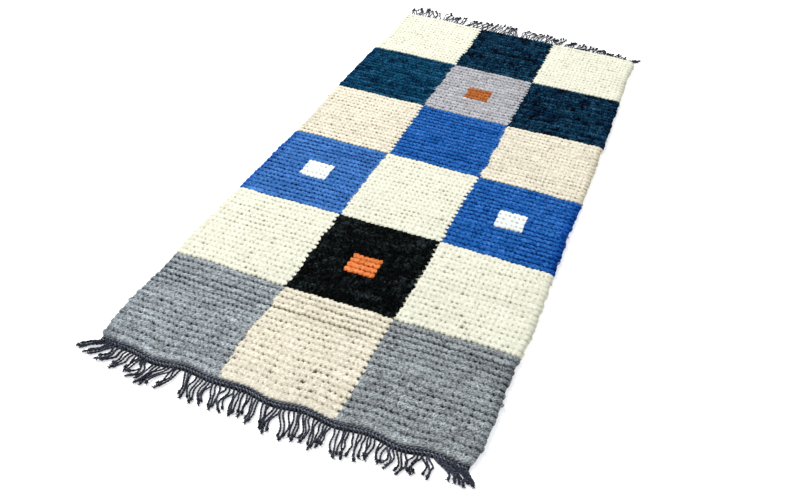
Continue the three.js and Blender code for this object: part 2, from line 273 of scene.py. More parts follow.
def yarn_at(u, v):
    """Which yarn is worked at a place: the colour changes between rows, or with a tooth on each
    row where two yarns turn back side by side."""
    row = cell_of(v, ROWS)
    bulge = 2 * np.sin(np.pi * np.clip(v - row, 0, 1)) - 1
    block = np.clip(np.searchsorted(BLOCK_EDGES, row, side="right") - 1, 0, len(BLOCKS) - 1)
    column = np.zeros_like(row)
    for number, edge in enumerate(COLUMN_EDGES[1:-1], start=1):
        line = edge + TOOTH * bulge + TOOTH_JITTER * TOOTH_SHIFTS[row, number]
        column += u > line
    yarn = BLOCK_YARNS[block, column]
    for (spot_row, spot_column), name in SPOTS.items():
        middle = COLUMN_EDGES[spot_column : spot_column + 2].sum() / 2
        first = (BLOCK_EDGES[spot_row : spot_row + 2].sum() - SPOT_ROWS) // 2
        inside = np.abs(u - middle) < SPOT_STITCHES / 2 + SPOT_TOOTH * bulge
        inside &= (row >= first) & (row < first + SPOT_ROWS)
        yarn = np.where(inside, YARN_NAMES.index(name), yarn)
    return yarn


# The lattice of the weave: one value for each crossing of a stitch line and a row groove
LATTICE_U, LATTICE_V = np.meshgrid(np.arange(STITCHES + 1.0), np.arange(ROWS + 1.0))
JUST_INSIDE = 1e-3

# How far a crossing is pulled open: by chance, in patches, in streaks, and at special places
PULL = Values(
    least=0.16, power=2.0, base=0.15, patch=0.6, streak=1.05, join=0.25, join_spread=0.6,
    block=0.2, parted=0.45, rim=0.5, slack_least=0.25, torn_share=0.012, torn=0.5,
)

# The pits at the crossings, the grooves between the rows, and the painted shade along the grooves
PIT = Values(
    least=1.3, spread=5.0, deepest=5.6, sizes=(0.8, 1.35), turn=33, turn_jitter=22, half_width=1.1,
    half_length=2.8, bare_gain=1.7, shallower_share=0.35,
)
GROOVE = Values(
    least=0.75, spread=0.95, patchy_least=0.4, patchy_spread=0.8, lined_least=0.4,
    lined_spread=0.9, parted=2.6, roundness=3.0,
)
GROOVE_SHADE = Values(least=0.16, spread=0.66, half_length=1.7, half_width=2.9, between=0.5)
GAPE = Values(middle=0.8, spread=0.8, range=(0.15, 1.3), half_length=2.3, between=0.3)

# How far the crossings are off their places, and the unevenness of the stitches
DRIFT = Values(column=1.8, column_jitter=1.5, row=1.8, row_jitter=1.3, long_row=0.9)
STITCH = Values(
    puff=0.5, puff_half_width=2.6, valley=0.22, valley_least=0.1, valley_half_width=1.3, step=1.1,
    step_skew=0.5,
)
TUFT = Values(across=3, along=3, height=0.35)


def weave_lattice():
    """How open each crossing is, how far it is off its place, and the puff of each stitch."""
    rng = draws("lattice")
    u, v = LATTICE_U, LATTICE_V
    patch = 0.5 + 0.5 * cloudy(rng, u, v, "patch")
    streak = 0.5 + 0.5 * cloudy(rng, u, v, "streak")
    pulled = rng.uniform(0, 1, u.shape) ** PULL.power
    pulled = pulled * (PULL.base + PULL.patch * patch + PULL.streak * streak)
    torn = rng.uniform(0, 1, u.shape) < PULL.torn_share
    pulled += PULL.torn * torn
    for edge in COLUMN_EDGES[1:-1]:
        pulled[:, edge] += PULL.join + PULL.join_spread * rng.uniform(0, 1, ROWS + 1)
    for edge in BLOCK_EDGES[1:-1]:
        pulled[edge] += PULL.block
    kind = yarn_at(u, v - JUST_INSIDE)
    slack = YARN_OPEN[kind]
    pulled = (PULL.least + pulled) * rising(PULL.slack_least, slack)
    patchy = GROOVE.patchy_least + GROOVE.patchy_spread * patch
    groove = GROOVE.least + GROOVE.spread * streak * patchy
    groove *= GROOVE.lined_least + GROOVE.lined_spread * YARN_LINED[kind]
    # Painted shade along the groove between the rows
    line = (GROOVE_SHADE.least + GROOVE_SHADE.spread * streak * patchy) * YARN_LINED[kind]
    parted = np.zeros_like(u)
    for row, opened in PARTED.items():
        gape = GAPE.middle + GAPE.spread * cloudy(rng, u[0], u[0] * 0, "gape")
        parted[row] = opened * np.clip(gape, *GAPE.range)
    pulled += PULL.parted * parted
    groove += GROOVE.parted * parted
    for ended in (pulled, groove, line):
        ended[[0, -1]] = 0
    pulled[:, [0, -1]] *= PULL.rim
    aside = DRIFT.column * cloudy(rng, u, v, "column")
    aside += DRIFT.column_jitter * rng.uniform(-1, 1, u.shape)
    onward = DRIFT.row * cloudy(rng, u, v, "row") + DRIFT.row_jitter * rng.uniform(-1, 1, u.shape)
    onward += DRIFT.long_row * cloudy(rng, u, v, "long_row")
    aside[:, [0, -1]] = 0
    onward[[0, -1]] = 0
    return Values(
        pulled=pulled, groove=groove, line=line, parted=parted, aside=aside, onward=onward,
        turn=np.radians(PIT.turn + PIT.turn_jitter * rng.uniform(-1, 1, u.shape)),
        wide=rng.uniform(*PIT.sizes, u.shape) * (1 + PULL.torn * torn),
        valley=STITCH.valley * rising(STITCH.valley_least, slack),
        puff=STITCH.puff * rng.uniform(-1, 1, (ROWS, STITCHES)),
        tuft=rng.uniform(-1, 1, (TUFT.along * ROWS + 2, TUFT.across * STITCHES + 2)),
    )


LATTICE = weave_lattice()

ROLL_WIDTH = 8
# Painted shade along the side rims: how strong, its most and how many stitches it reaches; and
# where across the weave the side edges take their yarn from
RIM = Values(shade=0.24, most=0.2, stitches=0.9, place=0.02)
WOOL_END = Values(
    base=np.array([5.4, 8.6]), thinning=np.array([4.2, 1.0]), thinning_rows=1.5, scallop=0.9,
    scallop_half=2.4, roll_rows=0.14,
)


def stitch_step(u):
    """How far the yarn of a stitch slants along the cloth, before it steps back to the next."""
    turn = 2 * np.pi * u
    return -STITCH.step * (np.sin(turn) + STITCH.step_skew * np.sin(2 * turn))


def weave_point(u, v):
    """A point of the weave's top, by stitches across and rows along, with its marks: how bare
    the warp is there, how much painted shade lies in the groove between rows and on the side
    rims, and the rise of its tuft."""
    i, k = np.rint(u).astype(int), np.rint(v).astype(int)
    beyond = (v - k) * ROW_PITCH
    beside = (u - i) * STITCH_PITCH
    x, y = cloth_place(u, v, ROLL_WIDTH)
    x = x + sample(LATTICE.aside, u, v)
    from_end = np.minimum(v, ROWS - v)
    y = y + sample(LATTICE.onward, u, v) + stitch_step(u) * smooth(from_end)

    pulled = LATTICE.pulled[k, i]
    cos, sin = np.cos(LATTICE.turn[k, i]), np.sin(LATTICE.turn[k, i])
    size = LATTICE.wide[k, i]
    in_pit = bell(beside * cos + beyond * sin, PIT.half_length * size)
    in_pit = in_pit * bell(beyond * cos - beside * sin, PIT.half_width * size)
    pit = np.minimum(PIT.least + PIT.spread * pulled, PIT.deepest) * in_pit
    toward = np.clip(2 * np.abs(v - k), 0, 1)
    round_rib = np.sqrt(1 - (1 - toward) ** GROOVE.roundness)
    row_line = k.astype(float)
    groove = sample(LATTICE.groove, u, row_line) * (1 - round_rib)
    valley = LATTICE.valley[k, i] * bell(beside, STITCH.valley_half_width) * round_rib
    dome = LATTICE.puff[cell_of(v, ROWS), cell_of(u, STITCHES)] * round_rib
    dome = dome * (1 - bell(beside, STITCH.puff_half_width))
    tuft = sample(LATTICE.tuft, u * TUFT.across, v * TUFT.along)
    z = RIB_TOP + swell(u * STITCH_PITCH, v * ROW_PITCH) + dome + TUFT.height * tuft
    z = z - np.maximum(pit, groove) - PIT.shallower_share * np.minimum(pit, groove) - valley

    end = (v >= ROWS / 2).astype(int)
    z = z - WOOL_END.thinning[end] * np.exp(-from_end / WOOL_END.thinning_rows)
    rise = np.sqrt(1 - np.clip(1 - from_end / WOOL_END.roll_rows, 0, 1) ** 2)
    base = WOOL_END.base[end]
    z = base + (z - base) * rise
    facing = 2 * end - 1
    y = y + facing * WOOL_END.scallop * (1 - bell(beside, WOOL_END.scallop_half)) * (1 - rise)

    # Painted shade along the groove between rows, strongest near the stitches
    near_stitch = bell(beside, GROOVE_SHADE.half_width)
    line = sample(LATTICE.line, u, row_line) * bell(beyond, GROOVE_SHADE.half_length)
    line = line * rising(GROOVE_SHADE.between, near_stitch)
    # Painted shade on the rims of the top and down the turned edges
    from_side = np.minimum(u, STITCHES - u)
    rim = np.minimum(RIM.shade * YARN_LINED[yarn_at(u, v)], RIM.most)
    line = line + rim * bell(from_side, RIM.stitches)
    parted = sample(LATTICE.parted, u, row_line) * bell(beyond, GAPE.half_length)
    parted = parted * rising(GAPE.between, near_stitch)
    # The warp shows in the pits and parted rows; its darkness there is painted shade
    bare = np.maximum(PIT.bare_gain * pulled * in_pit, parted)
    return np.stack([x, y, z], -1), np.stack([np.clip(bare, 0, 1), np.clip(line, 0, 1), tuft], -1)


# The yarn that each node of the solids is made of
SLOTS = {"rug_body": "wool", "fringe_near": "cotton", "fringe_far": "cotton"}


def add_object(name, data):
    made = bpy.data.objects.new(name, data)
    bpy.context.scene.collection.objects.link(made)
    return made


def add_piece(name, points, face_sets, node, colour, uv=None, flat_sets=()):
    """Makes a piece of the rug from points in millimetres and sets of faces of one size."""
    slot = SLOTS[node]
    mesh = bpy.data.meshes.new(name)
    sizes = np.concatenate([np.full(len(faces), faces.shape[1]) for faces in face_sets])
    corners = np.concatenate([faces.ravel() for faces in face_sets])
    mesh.vertices.add(len(points))
    mesh.vertices.foreach_set("co", ((points + SHIFT) * MM).astype(np.float32).ravel())
    mesh.loops.add(len(corners))
    mesh.loops.foreach_set("vertex_index", corners.astype(np.int32))
    mesh.polygons.add(len(sizes))
    starts = np.concatenate([[0], np.cumsum(sizes)[:-1]])
    mesh.polygons.foreach_set("loop_start", starts.astype(np.int32))
    is_flat = [np.full(len(faces), number in flat_sets) for number, faces in enumerate(face_sets)]
    mesh.update(calc_edges=True)
    mesh.polygons.foreach_set("use_smooth", ~np.concatenate(is_flat))
    yarn = mesh.color_attributes.new("yarn", "FLOAT_COLOR", "CORNER")
    yarn.data.foreach_set("color", colour.astype(np.float32).ravel())
    if uv is not None:
        layer = mesh.uv_layers.new(name="OFBake")
        layer.data.foreach_set("uv", uv.astype(np.float32).ravel())
    mesh.materials.append(MATERIALS[slot])
    piece = add_object(name, mesh)
    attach(piece, "root")
    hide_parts(node)
    return piece


def zip_chains(upper, lower, x, facing):
    """Faces between two chains of points that share their ends, from left to right."""
    faces = []
    a = b = 0
    while a < len(upper) - 1 or b < len(lower) - 1:
        upper_next = x[upper[a + 1]] if a < len(upper) - 1 else np.inf
        lower_next = x[lower[b + 1]] if b < len(lower) - 1 else np.inf
        if upper_next <= lower_next:
            face = [lower[b], upper[a + 1], upper[a]]
            a += 1
        else:
            face = [lower[b], lower[b + 1], upper[a]]
            b += 1
        if len(set(face)) == 3:
            faces.append(face if facing < 0 else face[::-1])
    return np.array(faces)


def ring_walls(rings):
    """The numbers of the points of rings, row after row, and the faces from ring to ring."""
    rows, count = rings.shape[:2]
    index = np.arange(rows * count).reshape(rows, count)
    turned = np.roll(index, -1, axis=1)
    return index, np.stack([index[:-1], turned[:-1], turned[1:], index[1:]], -1).reshape(-1, 4)


def closed_shell(rings, upper_count):
    """A closed body from rings of points, row after row. A ring runs along its upper chain from
    left to right, and back along the rest. Returns the points and the sets of faces."""
    index, sides = ring_walls(rings)
    points = rings.reshape(-1, 3)
    caps = []
    for ring, facing in ((index[0], -1), (index[-1], 1)):
        lower = [ring[0], *ring[: upper_count - 1 : -1], ring[upper_count - 1]]
        caps.append(zip_chains(list(ring[:upper_count]), lower, points[:, 0], facing))
    return points, [sides, *caps]


# Where the sides of a shell lie on its map, and its two caps
SHELL_MAP = Values(
    upper=(0.01, 0.9), rest=(0.91, 0.97), along=(0.02, 0.98), caps=(0.0, 0.985), cap_depth=0.012,
)


def shell_map(rings, upper_count, face_sets):
    """The map of a closed shell: its upper side over most of it and the rest beside that."""
    rows, count = rings.shape[:2]
    across = np.empty(count + 1)
    across[:upper_count] = np.linspace(*SHELL_MAP.upper, upper_count)
    across[upper_count:] = np.linspace(*SHELL_MAP.rest, count + 1 - upper_count)
    along = np.linspace(*SHELL_MAP.along, rows)
    left, right = across[:-1], across[1:]
    low, high = along[:-1, None], along[1:, None]
    quad = [(left, low), (right, low), (right, high), (left, high)]
    corners = [np.stack(np.broadcast_arrays(s, t), -1) for s, t in quad]
    parts = [np.stack(corners, axis=2).reshape(-1, 2)]
    for faces, base in zip(face_sets[1:], SHELL_MAP.caps):
        place = faces % count
        t = base + SHELL_MAP.cap_depth * (place < upper_count)
        parts.append(np.stack([across[place], t], -1).reshape(-1, 2))
    return np.concatenate(parts)


# The colour of the weave: how much lighter or darker each row, batch and stitch is at random, and
# the painted light and shade: the darkened warp shown in the pits, painted shade in the grooves,
# painted light on the tops of the tufts and shade in their hollows, and the deeper hue in shade
SHADE = Values(
    row=0.04, batch=0.11, stitch=0.11, range=(0.1, 2), pit=0.95, line=0.85, tuft=0.25,
    deepening=1.15, warp=0.35, warp_spread=0.75,
)


def shade_lattice():
    """How much lighter or darker each stitch is, as a share of its yarn's mixture."""
    rng = draws("shades")
    u, v = LATTICE_U[:-1, :-1], LATTICE_V[:-1, :-1]
    batch = SHADE.row * rng.uniform(-1, 1, (ROWS, 1)) + SHADE.batch * cloudy(rng, u, v, "batch")
    return batch + SHADE.stitch * rng.uniform(-1, 1, u.shape)


SHADES = shade_lattice()
# Paler stitches at random, and a painted highlight on the tops of the tufts
PALE = Values(stitch=0.055, tuft=0.010, tint=(0.65, 1.0, 1.1))
LEAST_COLOUR = 0.0003
MARKS = 3


def weave_colours(u, v, marks):
    """The colour of each corner of the weave's faces, from the marks of the corners."""
    kind = yarn_at(u, v)
    yarn = YARN_VALUES[kind]
    bare, line, tuft = np.moveaxis(marks, -1, 0)
    colour = yarn[:, None, :] * np.ones((1, marks.shape[1], 1))
    heather = yarn[:, 3:]
    own = SHADES[cell_of(v, ROWS), cell_of(u, STITCHES)][:, None]
    shade = 1 + 2 * heather * own
    # Painted light on the tops of the tufts and painted shade in their hollows, and painted shade
    # in the grooves and on the rims
    shade = (shade + SHADE.tuft * heather * tuft) * (1 - SHADE.line * line)
    # Painted shade also deepens the hue in the hollows, as light bouncing in them would
    hue = yarn[:, None, :3] / yarn[:, None, :3].max(-1, keepdims=True)
    painted_shade_hue = hue ** (SHADE.deepening * (line + bare)[..., None])
    colour[..., :3] *= np.clip(shade, *SHADE.range)[..., None] * painted_shade_hue
    paler_and_highlight = (PALE.stitch * own + PALE.tuft * tuft) * (1 - line)
    colour[..., :3] += paler_and_highlight[..., None] * PALE.tint
    colour[..., :3] = np.maximum(colour[..., :3], LEAST_COLOUR)
    # The warp shown in the pits and parted rows, darkened as painted shade
    open_share = np.minimum(SHADE.warp + SHADE.warp_spread * YARN_OPEN[kind], 1)
    shown = (SHADE.pit * np.clip(bare * open_share[:, None], 0, 1))[..., None]
    return colour * (1 - shown) + SHADED_WARP * shown


STITCH_PLACES = np.array([0, 0.10, 0.25, 0.42, 0.58, 0.75, 0.90])
ROW_PLACES = np.array([0, 0.09, 0.27, 0.50, 0.73, 0.91])
HALVES = np.array([0, 0.5])
EDGE = Values(
    turns=np.radians([24, 48, 70, 92]), bulge_height=5.2, bulge_least=0.4, scallop=2.0,
    scallop_half=2.6, uneven=2.0,
    low=[(0.7, 2.3), (2.2, 0.15)], inner_inset=12,
    inner_height=2.6, inner_columns=12,
)
ROW_SWINGS = dict(zip((-1, 1), draws("swings").uniform(-1, 1, (2, ROWS))))


def places(first, last, within):
    steps = (np.arange(first, last)[:, None] + within).ravel()
    return np.append(steps, last)


def roll_width(side, v):
    """How far the yarn of each row stands out at a side edge, where it turns back."""
    scallop = EDGE.scallop * bell((v - np.rint(v)) * ROW_PITCH, EDGE.scallop_half)
    row = cell_of(v, ROWS)
    swing = ROW_SWINGS[side][row] * np.sin(np.pi * (v - row))
    return ROLL_WIDTH - scallop + EDGE.uneven * swing


def edge_points(side, outer, v):
    """The rounded turned edge of the weave, from the top's outer column down to the floor."""
    width = roll_width(side, v)
    outer_x, y, top = outer.T
    height = np.maximum(top - EDGE.bulge_height, EDGE.bulge_least)
    columns = []
    for turn in EDGE.turns:
        z = np.minimum(EDGE.bulge_height + height * np.cos(turn), top)
        columns.append((outer_x + side * width * np.sin(turn), z))
    for inset, low in EDGE.low:
        columns.append((outer_x + side * (width - inset), low))
    columns.append((outer_x - side * (EDGE.inner_inset - ROLL_WIDTH), EDGE.inner_height))
    return np.stack([np.stack(np.broadcast_arrays(x, y, z), -1) for x, z in columns], 1)


def add_shell(name, rings, upper_count, ring_u, v_line, marks, is_mapped):
    """Makes a closed body of wool from its rings, each face in the yarn worked where it lies."""
    points, face_sets = closed_shell(rings, upper_count)
    marks = marks.reshape(-1, MARKS)
    colours = []
    for faces in face_sets:
        row, place = np.divmod(faces, rings.shape[1])
        face_u = ring_u[place].mean(1)
        face_v = v_line[row].mean(1).clip(v_line[0] + JUST_INSIDE, v_line[-1] - JUST_INSIDE)
        colours.append(weave_colours(face_u, face_v, marks[faces]).reshape(-1, 4))
    uv = shell_map(rings, upper_count, face_sets) if is_mapped else None
    colour = np.concatenate(colours)
    return add_piece(name, points, face_sets, "rug_body", colour, uv, flat_sets=(1, 2))


def weave_band(name, first, last):
    """The rows of the weave from one row to another, as one closed body."""
    u_line = places(0, STITCHES, STITCH_PLACES)
    v_line = places(first, last, ROW_PLACES)
    u, v = np.meshgrid(u_line, v_line)
    top, top_marks = weave_point(u, v)
    left = edge_points(-1, top[:, 0], v_line)[:, ::-1]
    right = edge_points(1, top[:, -1], v_line)
    share = np.linspace(1, 0, EDGE.inner_columns + 1)[1:-1]
    low = left[:, :1] + (right[:, -1:] - left[:, :1]) * share[None, :, None]
    rings = np.concatenate([left, top, right, low], 1)
    upper_count = rings.shape[1] - low.shape[1]

    outer = left.shape[1]
    ring_u = [[RIM.place] * outer, u_line, [STITCHES - RIM.place] * outer, share * STITCHES]
    ring_u = np.concatenate(ring_u)
    nearest = np.clip(np.arange(upper_count) - outer, 0, len(u_line) - 1)
    marks = np.zeros((*rings.shape[:2], MARKS))
    marks[:, :upper_count] = top_marks[:, nearest]
    return add_shell(name, rings, upper_count, ring_u, v_line, marks, is_mapped=True)


GROUND = Values(
    inset=6, top=5.2, columns=12, groove=0.825, valley=0.275, drift=0.5, tuck=2.0, tuck_power=9,
)


def ground_cloth():
    """The ground weave under the rows, with the rows' own ribs on its underside."""
    u_line = places(0, STITCHES, HALVES)
    v_line = places(0, ROWS, HALVES)
    u, v = np.meshgrid(u_line, v_line)
    x, y = cloth_place(u, v, GROUND.inset)
    x = x + GROUND.drift * sample(LATTICE.aside, u, v)
    squeeze = np.clip(2 * v_line / ROWS - 1, -1, 1)
    y = y - GROUND.tuck * squeeze[:, None] ** GROUND.tuck_power
    z = GROUND.groove * np.isclose(v % 1, 0) + GROUND.valley * np.isclose(u % 1, 0)
    under = np.stack([x, y, z], -1)
    share = np.linspace(0, 1, GROUND.columns + 1)[1:-1]
    ends = (under[:, :1] + [0, 0, GROUND.top], under[:, -1:] + [0, 0, GROUND.top])
    middle = ends[0] + (ends[1] - ends[0]) * share[None, :, None]
    over = np.concatenate([ends[0], middle, ends[1]], 1)
    rings = np.concatenate([under[:, :1], over, under[:, :0:-1]], 1)
    ring_u = np.concatenate([[0], np.linspace(0, STITCHES, over.shape[1]), u_line[:0:-1]])
    no_marks = np.zeros((*rings.shape[:2], MARKS))
    upper_count = over.shape[1] + 2
    return add_shell("ground_cloth", rings, upper_count, ring_u, v_line, no_marks, is_mapped=False)


def unit(vectors, added=0):
    return vectors / (np.linalg.norm(vectors, axis=-1, keepdims=True) + added)


def tubes(group):
    """Closed tubes along many paths at once. A group holds the paths, the radii along them and
    the sides, and for twisted plies the turn of each ring, how far its two lobes stand out and
    how much painted light and shade their lobes carry."""
    paths, sides = group["paths"], group["sides"]
    count, steps = paths.shape[:2]
    way = unit(np.gradient(paths, axis=1), TINY)
    beside = unit(np.cross(way, [0, 0, 1.0]), TINY)
    above = np.cross(beside, way)
    angle = 2 * np.pi * np.arange(sides) / sides
    turned = angle + (group["spin"][..., None] if "spin" in group else 0)
    turned = np.broadcast_to(turned, (count, steps, sides))[..., None]
    radii = group["radii"][..., None] * (1 + group.get("lobes", 0) * np.cos(2 * angle))
    ring = np.cos(turned) * beside[:, :, None] + np.sin(turned) * above[:, :, None]
    points = paths[:, :, None] + ring * radii[..., None]
    index = np.arange(count * steps * sides).reshape(count, steps, sides)
    next_side = np.roll(index, -1, axis=2)
    walls = np.stack([index[:, :-1], index[:, 1:], next_side[:, 1:], next_side[:, :-1]], -1)
    return points.reshape(-1, 3), [walls.reshape(-1, 4), index[:, 0], index[:, -1, ::-1]]


# Where the walls and the two caps of a tube lie in its cell of the map
TUBE_MAP = Values(
    corner=0.06, across=0.88, along=0.8, caps=(0.2, 0.6), cap_level=0.94, cap_width=0.05,
    cap_depth=0.04,
)


def tube_map(cells, cell_from, face_sets, steps, sides):
    """The map of tubes: each has its own cell of a square sheet of cells."""
    placed = []
    for number, faces in enumerate(face_sets):
        cell = faces // (steps * sides) + cell_from
        turn = faces % sides
        if number == 0:
            turn = np.where((turn == 0) & (turn.max(1, keepdims=True) > 1), sides, turn)
            step = faces // sides % steps
            s = TUBE_MAP.corner + TUBE_MAP.across * turn / sides
            t = TUBE_MAP.corner + TUBE_MAP.along * step / (steps - 1)
        else:
            angle = 2 * np.pi * turn / sides
            s = TUBE_MAP.caps[number - 1] + TUBE_MAP.cap_width * np.cos(angle)
            t = TUBE_MAP.cap_level + TUBE_MAP.cap_depth * np.sin(angle)
        row, column = np.divmod(cell, cells)
        placed.append(np.stack([(column + s) / cells, (row + t) / cells], -1).reshape(-1, 2))
    return np.concatenate(placed)


def add_tubes(name, groups, node):
    """Makes one piece of groups of tubes, each group with the colour of each of its tubes."""
    cells = int(np.ceil(np.sqrt(sum(len(group["paths"]) for group in groups))))
    points, face_sets, colours, maps = [], [], [], []
    offset = cell_from = 0
    for group in groups:
        made, faces = tubes(group)
        steps, sides = group["paths"].shape[1], group["sides"]
        maps.append(tube_map(cells, cell_from, faces, steps, sides))
        for one in faces:
            face_sets.append(one + offset)
            tube, turn = one // (steps * sides), 2 * np.pi * (one % sides) / sides
            # Painted light on the crests of the lobes and painted shade between them
            painted_lobe_light = 1 + group.get("lobe_shade", 0) * np.cos(2 * turn)
            colour = group["colour"][tube]
            colour[..., :3] *= painted_lobe_light[..., None]
            colours.append(colour.reshape(-1, 4))
        points.append(made)
        offset += len(made)
        cell_from += len(group["paths"])
    points, colour, uv = (np.concatenate(parts) for parts in (points, colours, maps))
    return add_piece(name, points, face_sets, node, colour, uv)


END_LINE_STEPS = 400


def end_line(end):
    """The line of an end: a smooth curve along the last row of the weave."""
    u = np.linspace(0, STITCHES, END_LINE_STEPS)
    v = np.full_like(u, 0 if end.facing < 0 else ROWS)
    return cloth_place(u, v, EDGE_SHOULDER_INSET)


# The heading band, in the cotton darkened as painted shade under the cords
HEADING = Values(
    columns=290, out=np.array([0.2, 1.4, 3.4, 5.6, 8.0, 10.2, 11.6]),
    height=np.array([3.6, 4.5, 4.7, 4.4, 3.8, 2.8, 1.3]), foot=0.1, rough=0.4,
    tint=(0.3, 0.3, 0.3, 1),
)

# The twined cords: how far out of the wool they lie, their height, radius and pitch
CORDS = [(2.5, 4.5, 2.0, 12.5), (7.4, 3.5, 1.75, -12)]
# The cords: the cotton made lighter as painted light, with painted light on the crests of their
# lobes and painted shade between them
CORD = Values(
    steps=420, sides=10, inset=1, lobes=0.3, lobe_shade=0.85, tint=(2.9, 2.75, 2.3, 0.6),
    uneven=0.12, wander=0.45, wander_lift=0.5, wander_steps=9,
)


def heading(end):
    """The narrow band of cotton between the wool and the strands, with twined cords on it."""
    name, node = f"heading_{end.name}", f"fringe_{end.name}"
    rng = draws(name)
    line_x, line_y = end_line(end)
    x = np.linspace(line_x[0], line_x[-1], HEADING.columns + 1)
    y = np.interp(x, line_x, line_y)[:, None]
    out = np.append(HEADING.out, HEADING.out[[-1, 0]])
    z = HEADING.height + HEADING.rough * rng.uniform(-1, 1, (len(x), len(HEADING.out)))
    z = np.concatenate([z, np.full((len(x), 2), HEADING.foot)], 1)
    rings = np.stack(np.broadcast_arrays(x[:, None], y + end.facing * out, z), -1)
    index, walls = ring_walls(rings)
    face_sets = [walls, index[:1, ::-1], index[-1:]]
    if end.facing < 0:
        face_sets = [faces[:, ::-1] for faces in face_sets]
    # The band is the cotton darkened as painted shade under the cords
    colour = np.tile(COTTON * HEADING.tint, (sum(faces.size for faces in face_sets), 1))
    band = add_piece(name, rings.reshape(-1, 3), face_sets, node, colour, flat_sets=(1, 2))

    cord_x = np.linspace(line_x[0] + CORD.inset, line_x[-1] - CORD.inset, CORD.steps)
    base_y = np.interp(cord_x, line_x, line_y)
    travelled = cord_x - cord_x[0]
    turns = travelled[::CORD.wander_steps]
    groups = []
    for cord_out, height, radius, pitch in CORDS:
        wander = CORD.wander * np.interp(travelled, turns, rng.uniform(-1, 1, len(turns)))
        cord_y = base_y + end.facing * (cord_out + wander)
        cord_z = height + CORD.wander_lift * wander
        swollen = radius * (1 + CORD.uneven * rng.uniform(-1, 1, (1, CORD.steps)))
        group = {"paths": np.stack([cord_x, cord_y, cord_z], -1)[None], "radii": swollen}
        group |= {"spin": (2 * np.pi * travelled / pitch)[None], "sides": CORD.sides}
        group |= {"lobes": CORD.lobes, "lobe_shade": CORD.lobe_shade}
        groups.append(group | {"colour": COTTON[None] * CORD.tint})
    return [band, add_tubes(f"cords_{end.name}", groups, node)]


def strand_routes(end):
    """Where each strand of an end leaves the heading and where its tip lies, as in the solids:
    x, and distance out from the wool."""
    line_x, _ = end_line(end)
    lean, reach = np.array([end.lean, end.reach], float)
    aside = BUNCH_TIP_GAP * unit(np.stack([reach, -lean], -1))
    left, right = line_x[0] + FRINGE_MARGIN, line_x[-1] - FRINGE_MARGIN
    middle = left + (right - left) * (np.arange(BUNCHES) + 0.5) / BUNCHES
    roots, tips = [], []
    for side, longer in BUNCH_STRANDS.items():
        root_x = middle + side * BUNCH_ROOT_GAP
        root = np.stack([root_x, np.full(BUNCHES, STRIP_WIDTH)], -1)
        tip = np.stack([middle + lean, STRIP_WIDTH + reach], -1) + side * aside
        tips.append(tip + unit(tip - root) * longer)
        roots.append(root)
    return np.stack(roots, 1).reshape(-1, 2), np.stack(tips, 1).reshape(-1, 2)


# The strands: their size and twist, the painted light and shade on their lobes, how they leave
# the heading, and how they stray and wave
STRAND = Values(
    steps=34, sides=8, lobes=0.2, lobe_shade=0.25, shade=0.28, ply_pitch=10, start=3.6,
    start_height=4.3, start_fall=6.5, rest=2.0, root_swell=0.75, root_swell_reach=5,
)
SLUB = Values(size=0.12, length=4.1, turns=3, range=(0.3, 1))
BUNCH = Values(
    pinch=0.8, far_lean=20, far_lean_spread=1.15, far_lean_swell=1.22, drift=2.6, bend=2.2,
    bow=(-0.8, 2.2), crossing_share=0.25, crossing_lift=2.6,
)
WAVE = Values(
    lean_ease=1.35, size=1.3, stray=0.4, turns=(0.7, 1.6), window=0.8, second=0.45, curl_power=1.6,
    curl_slope=1.4,
)

# The knots, and the frayed ends past them
KNOT = Values(
    steps=14, sides=5, turns=1.7, radius=2.0, waist=0.75, sizes=(0.8, 1.2), share=0.8,
    set_back=0.6, yarn=1.25, yarn_ends=0.7, floor_gap=0.05,
)
FRAY = Values(
    fibres=8, steps=4, sides=3, start=0.5, fan=0.6, root_fan=0.4, reach=(2.4, 4.0), radius=0.95,
    taper=0.45, lift=1.8,
)


